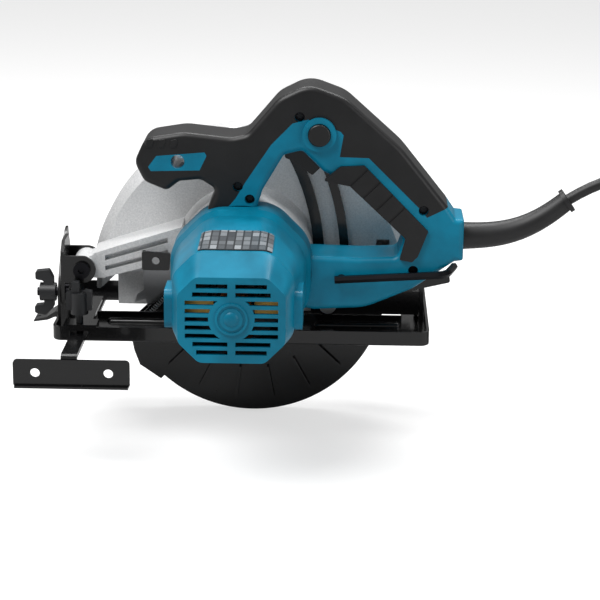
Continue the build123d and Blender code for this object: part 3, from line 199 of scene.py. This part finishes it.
copper = metal("bare copper", "B4683C", "C97C4C", 0.33, 0.6, 0.02, stretch=(1, 6, 1))
brass = metal("bare brass", "B8924A", "CBA75E", 0.3, 0.6, 0.004)


def cast_aluminium():
    """Die-cast aluminium, tumbled: a grainy skin with a sparkle, and a satin lacquer over it."""
    material, tree, shader, where = start("die-cast aluminium")
    shader.inputs["Metallic"].default_value = 0.35
    skin = add(tree, "ShaderNodeTexNoise", {"Scale": per_metre(1.3), "Detail": 6.0, "Roughness": 0.7},
               Vector=where)
    speck = add(tree, "ShaderNodeTexVoronoi", {"Scale": per_metre(0.9)}, Vector=where)
    vary(tree, shader, skin.outputs["Fac"], "C2C3C4", "E2E2E2", 0.3, 0.7)
    roughen(tree, shader, speck.outputs["Distance"], 0.36, 0.52)
    peened = bump(tree, shader, speck.outputs["Distance"], 0.02)
    bump(tree, shader, skin.outputs["Fac"], 0.05, under=peened)
    return material


def powder_coat():
    """Gloss powder coat on pressed steel, with the slight orange peel of melted powder."""
    material, tree, shader, where = start("gloss black powder coat")
    shader.inputs["Specular IOR Level"].default_value = 0.35
    shader.inputs["Coat Weight"].default_value = 0.3
    shader.inputs["Coat Roughness"].default_value = 0.08
    peel = add(tree, "ShaderNodeTexNoise", {"Scale": per_metre(2.2), "Detail": 2.0}, Vector=where)
    vary(tree, shader, peel.outputs["Fac"], "060607", "0B0B0C")
    roughen(tree, shader, peel.outputs["Fac"], 0.2, 0.3)
    bump(tree, shader, peel.outputs["Fac"], 0.02)
    return material


def blank_label():
    """A printed rating plate with its fields left empty: pale boxes on a dark ground."""
    material, tree, shader, where = start("printed plate, blank")
    turned = add(tree, "ShaderNodeMapping", {"Location": (0.027, 0.006, 0)}, Vector=where)
    fields = add(tree, "ShaderNodeTexBrick", {
        "offset": 0.0,
        "Color1": linear("8D9296"), "Color2": linear("3A3E42"), "Mortar": linear("2A2D30"),
        "Scale": 1.0, "Mortar Size": 0.0006, "Brick Width": 0.0055, "Row Height": 0.0085,
    }, Vector=turned.outputs["Vector"])
    tree.links.new(fields.outputs["Color"], shader.inputs["Base Color"])
    shader.inputs["Roughness"].default_value = 0.32
    bump(tree, shader, fields.outputs["Fac"], 0.01)
    return material


aluminium, gloss_black, plate_print = cast_aluminium(), powder_coat(), blank_label()

# %% [markdown]
# Each piece of the frame names the stock it is made of, so one table paints the whole frame. A small bevel
# on every piece catches the light along its edges, as any moulded or pressed edge does.

# %% Paint the frame
FINISH = {
    "silver_casting": aluminium, "black_steel": gloss_black, "steel": steel, "zinc": zinc,
    "dark_steel": oxide, "teal_nylon": teal, "rubber": rubber, "black_nylon": black_plastic,
    "grey_knob": knob_plastic, "copper": copper, "core_steel": core, "carbon": carbon_and_recess_shade,
    "brass": brass, "label": plate_print, "cable_rubber": cable,
}
slot_of = {part["node"]: part["material_slot"] for part in frame["record"]["subparts"]}
EDGE = {"motor_housing": 0.9, "blade_case": 0.9, "handle_near": 0.5, "handle_far": 0.5}
for name, piece in nodes.items():
    finish = FINISH[slot_of[name]]
    if not piece.material_slots:
        piece.data.materials.append(finish)
    for place in piece.material_slots:
        place.material = finish
    eased = piece.modifiers.new("eased edges", "BEVEL")
    eased.width = EDGE.get(name, 0.3) * MM
    eased.segments = 2
    eased.limit_method = "ANGLE"
    eased.angle_limit = radians(35)
    eased.use_clamp_overlap = True
print("painted", len(nodes))

# %% [markdown]
# The cord leaves its bend guard, droops over the edge of the bench and runs into a neat storage
# coil. A cord is one smooth line with a round section, so it is one NURBS curve: the control
# points of its free run are listed, and the coil's come from a formula, sixteen to a turn.

# %% Power cord
CORD_D = 0.008
LEAD = (
    (0.2285, -0.056, 0.1052), (0.2604, -0.056, 0.1260), (0.3054, -0.056, 0.1164),
    (0.3341, -0.056, 0.0754), (0.3268, -0.056, 0.0160), (0.3263, -0.0456, -0.0425),
)
COIL_TURNS, COIL_OUT, COIL_IN = 3, 0.056, 0.032
STEPS = 16
coil_low, coil_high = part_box("cord_coil")
coil_x, coil_y = (coil_low[0] + coil_high[0]) / 2, (coil_low[1] + coil_high[1]) / 2
lower_z, upper_z = coil_low[2] + CORD_D / 2, coil_low[2] + CORD_D * 1.5


def coil_points():
    """Inwards along the bottom layer, half a turn up, and outwards along the top layer."""
    points = []
    for step in range(int((2 * COIL_TURNS + 0.5) * STEPS) + 1):
        turn = step / STEPS
        climb = min(1.0, max(0.0, (turn - COIL_TURNS) / 0.5))
        inwards = min(turn, COIL_TURNS) / COIL_TURNS
        outwards = max(0.0, turn - COIL_TURNS - 0.5) / COIL_TURNS
        radius = COIL_OUT + (COIL_IN - COIL_OUT) * (inwards - outwards)
        angle = pi - tau * turn
        points.append((coil_x + radius * cos(angle), coil_y + radius * sin(angle),
                       lower_z + (upper_z - lower_z) * climb))
    return points


plug_low, plug_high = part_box("plug_body")
tail_end = (coil_x + COIL_OUT, plug_high[1], upper_z)
route = list(LEAD) + [(coil_x - COIL_OUT, -0.0156, lower_z)] + coil_points() + [tail_end]
cord_curve = bpy.data.curves.new("power cord", "CURVE")
cord_curve.dimensions = "3D"
cord_curve.resolution_u = 8
cord_curve.bevel_depth = CORD_D / 2
cord_curve.bevel_resolution = 5
cord_curve.use_fill_caps = True
line = cord_curve.splines.new("NURBS")
line.points.add(len(route) - 1)
for point, place in zip(line.points, route):
    point.co = (*place, 1.0)
line.order_u = 3
line.use_endpoint_u = True
power_cord = bpy.data.objects.new("power_cord", cord_curve)
bpy.context.scene.collection.objects.link(power_cord)
cord_curve.materials.append(cable)
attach(power_cord, "saw_body")
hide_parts("cord_lead", "cord_coil")
print("cord points", len(route))


# %% [markdown]
# The fine detail is built from thin prisms. A prism takes an outline drawn in the X and Z plane,
# which is how the saw's side faces us, and gives it a depth along Y and a small eased edge.


# %% Helper for raised and sunk detail
def prism(name, outlines, near, far, finish, body, eased=0.3):
    """One piece from several outlines, each a list of (x, z) in mm, between two Y planes in mm."""
    shape = bmesh.new()
    for outline in outlines:
        front = [shape.verts.new((x * MM, near * MM, z * MM)) for x, z in outline]
        back = [shape.verts.new((x * MM, far * MM, z * MM)) for x, z in outline]
        shape.faces.new(front)
        shape.faces.new(list(reversed(back)))
        for here in range(len(outline)):
            following = (here + 1) % len(outline)
            shape.faces.new((front[following], front[here], back[here], back[following]))
    bmesh.ops.recalc_face_normals(shape, faces=shape.faces)
    mesh = bpy.data.meshes.new(name)
    shape.to_mesh(mesh)
    shape.free()
    mesh.materials.append(finish)
    piece = bpy.data.objects.new(name, mesh)
    bpy.context.scene.collection.objects.link(piece)
    if eased:
        soften = piece.modifiers.new("eased edges", "BEVEL")
        soften.width, soften.segments, soften.limit_method = eased * MM, 2, "ANGLE"
    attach(piece, body)
    return piece


def around(radius, angle, x=0.0, z=0.0):
    return x + radius * cos(radians(angle)), z + radius * sin(radians(angle))


# %% [markdown]
# Pressed steel guards are stiffened by radial ribs, which also carry the light round the disc.

# %% Ribs on the lower guard
SPINDLE_Z_MM = 27.0
guard_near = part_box("lower_guard")[0][1] / MM


def radial_rib(angle, inner, outer, width):
    """A rib along a radius, pointed at its outer end."""
    half = degrees(atan2(width / 2, outer))
    return [around(inner, angle - half, 0, SPINDLE_Z_MM), around(outer - 2, angle - half, 0, SPINDLE_Z_MM),
            around(outer, angle, 0, SPINDLE_Z_MM), around(outer - 2, angle + half, 0, SPINDLE_Z_MM),
            around(inner, angle + half, 0, SPINDLE_Z_MM)]


RIB_INNER, RIB_OUTER, RIB_WIDTH = 66, 93, 2.4
ribs = [radial_rib(angle, RIB_INNER, RIB_OUTER, RIB_WIDTH) for angle in range(226, 317, 18)]
prism("guard_ribs", ribs, guard_near - 0.3, guard_near + 0.3, gloss_black, "guard_set", eased=0.1)

# %% [markdown]
# Each handle screw has a six-lobed drive sunk in its head. The recess is not cut into the head: its shade
# is painted as a dark lobed plug in the carbon finish, set a hair above the bright head.

# %% Screw drives, drawn as painted shade
screw_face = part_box("handle_screws")[0][1] / MM
HANDLE_SCREWS = ((36.0, 166.0), (124.5, 100.0), (-7.5, 115.5), (1.0, 106.5), (67.0, 49.0))
DRIVE_R, LOBE = 1.9, 0.5
recess_shade_outlines = []
for x, z in HANDLE_SCREWS:
    lobed = []
    for angle in range(0, 360, 15):
        lobed.append(around(DRIVE_R + LOBE * cos(radians(6 * angle)), angle, x, z))
    recess_shade_outlines.append(lobed)
# The dark plug is painted shade that stands in for the sunk recess.
prism("painted_screw_drive_shade", recess_shade_outlines, screw_face - 0.05, screw_face + 0.4, carbon_and_recess_shade, "saw_body", eased=0)

# %% [markdown]
# The front handle has three raised ribs where the thumb rests. They are moulded in the same soft
# rubber as the cover, so they share its finish and stand under a millimetre above it.

# %% Thumb ribs
handle_near_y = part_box("grip_near")[0][1] / MM
thumb_ribs = []
for number in range(3):
    x = -72 + number * 8.5
    thumb_ribs.append([(x, 143), (x + 4, 143.5), (x + 5, 147), (x + 4.5, 149.5),
                       (x + 0.5, 148.5), (x - 0.3, 146)])
prism("thumb_ribs", thumb_ribs, handle_near_y - 0.8, handle_near_y + 0.5, rubber, "saw_body")

# %% [markdown]
# The motor's end wall carries a moulded boss: a small dome with a flat ring round its foot. Turned
# shapes like this are one half profile spun round the motor's own axis.


# %% Boss on the motor's end wall
def turned(name, profile, centre_x, centre_z, finish, body, sides=96):
    """A piece spun about a line along Y. profile is a list of (radius, y) in mm, from the middle out."""
    shape = bmesh.new()
    loops = []
    for radius, y in profile:
        if radius == 0:
            loops.append([shape.verts.new((centre_x * MM, y * MM, centre_z * MM))])
            continue
        places = [around(radius, 360 * side / sides, centre_x, centre_z) for side in range(sides)]
        loops.append([shape.verts.new((x * MM, y * MM, z * MM)) for x, z in places])
    for inner, outer in zip(loops, loops[1:]):
        for side in range(sides):
            after = (side + 1) % sides
            if len(inner) == 1:
                shape.faces.new((inner[0], outer[side], outer[after]))
            else:
                shape.faces.new((inner[side], outer[side], outer[after], inner[after]))
    bmesh.ops.recalc_face_normals(shape, faces=shape.faces)
    for face in shape.faces:
        face.smooth = True
    mesh = bpy.data.meshes.new(name)
    shape.to_mesh(mesh)
    shape.free()
    mesh.materials.append(finish)
    piece = bpy.data.objects.new(name, mesh)
    bpy.context.scene.collection.objects.link(piece)
    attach(piece, body)
    return piece


MOTOR_X_MM, MOTOR_Z_MM = -5.0, 51.5
end_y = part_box("motor_housing")[0][1] / MM
DOME_R, DOME_RISE, DOME_SWELL = 5.4, 1.5, 2.2
dome = []
for turn in range(0, 91, 15):
    fall = DOME_SWELL * (1 - cos(radians(turn)))
    dome.append((DOME_R * sin(radians(turn)), end_y - DOME_RISE + fall))
turned("motor_boss", dome + [(7.4, end_y + 0.7)], MOTOR_X_MM, MOTOR_Z_MM, teal, "saw_body")

# %% [markdown]
# The studio is a pale floor under a white sky, with one large soft light above and to the left, a
# long strip that draws the bright line along the black steel edges, and a gentle fill.

# %% Floor and light
SKY_LIGHT, PAPER_GLOW = 0.3, 0.62
floor_z = min(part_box("coil_tie")[0][2], plug_low[2])
floor_mesh = bpy.data.meshes.new("floor")
FLOOR_HALF = 6.0
corners = [(x * FLOOR_HALF, y * FLOOR_HALF, floor_z) for x, y in ((-1, -1), (1, -1), (1, 1), (-1, 1))]
floor_mesh.from_pydata(corners, [], [(0, 1, 2, 3)])
floor = bpy.data.objects.new("floor", floor_mesh)
bpy.context.scene.collection.objects.link(floor)
paper, paper_tree, paper_shader, _ = start("white studio paper")
paper_shader.inputs["Base Color"].default_value = linear("B4B4B4")
paper_shader.inputs["Roughness"].default_value = 0.9
paper_shader.inputs["Emission Color"].default_value = linear("FFFFFF")
seen = add(paper_tree, "ShaderNodeLightPath").outputs["Is Camera Ray"]
glow = add(paper_tree, "ShaderNodeMath", {"operation": "MULTIPLY"})
glow.inputs[1].default_value = PAPER_GLOW
paper_tree.links.new(seen, glow.inputs[0])
paper_tree.links.new(glow.outputs["Value"], paper_shader.inputs["Emission Strength"])
floor_mesh.materials.append(paper)

world = bpy.data.worlds.new("white studio")
bpy.context.scene.world = world
world.use_nodes = True
sky = world.node_tree
sky.nodes["Background"].inputs["Color"].default_value = (1, 1, 1, 1)
sky.nodes["Background"].inputs["Strength"].default_value = SKY_LIGHT
backdrop = add(sky, "ShaderNodeBackground", {"Color": (1, 1, 1, 1), "Strength": 1.0})
shown = add(sky, "ShaderNodeLightPath").outputs["Is Camera Ray"]
chosen = add(sky, "ShaderNodeMixShader", Fac=shown)
sky.links.new(sky.nodes["Background"].outputs["Background"], chosen.inputs[1])
sky.links.new(backdrop.outputs["Background"], chosen.inputs[2])
sky.links.new(chosen.outputs["Shader"], sky.nodes["World Output"].inputs["Surface"])
bpy.context.scene.view_settings.view_transform = "Standard"


def soft_light(name, place, aim, wide, tall, watts):
    data = bpy.data.lights.new(name, "AREA")
    data.shape, data.size, data.size_y, data.energy = "RECTANGLE", wide, tall, watts
    lamp = bpy.data.objects.new(name, data)
    lamp.location = place
    lamp.rotation_euler = (Vector(aim) - Vector(place)).to_track_quat("-Z", "Y").to_euler()
    bpy.context.scene.collection.objects.link(lamp)
    return lamp


soft_light("key softbox", (-0.7, -0.6, 1.5), (0, 0, 0.05), 1.2, 0.9, 30)
soft_light("top strip", (0.2, 0.5, 1.3), (0, 0, 0.05), 1.6, 0.4, 20)
soft_light("fill", (1.4, -1.2, 0.5), (0, 0, 0.05), 1.0, 1.0, 8)
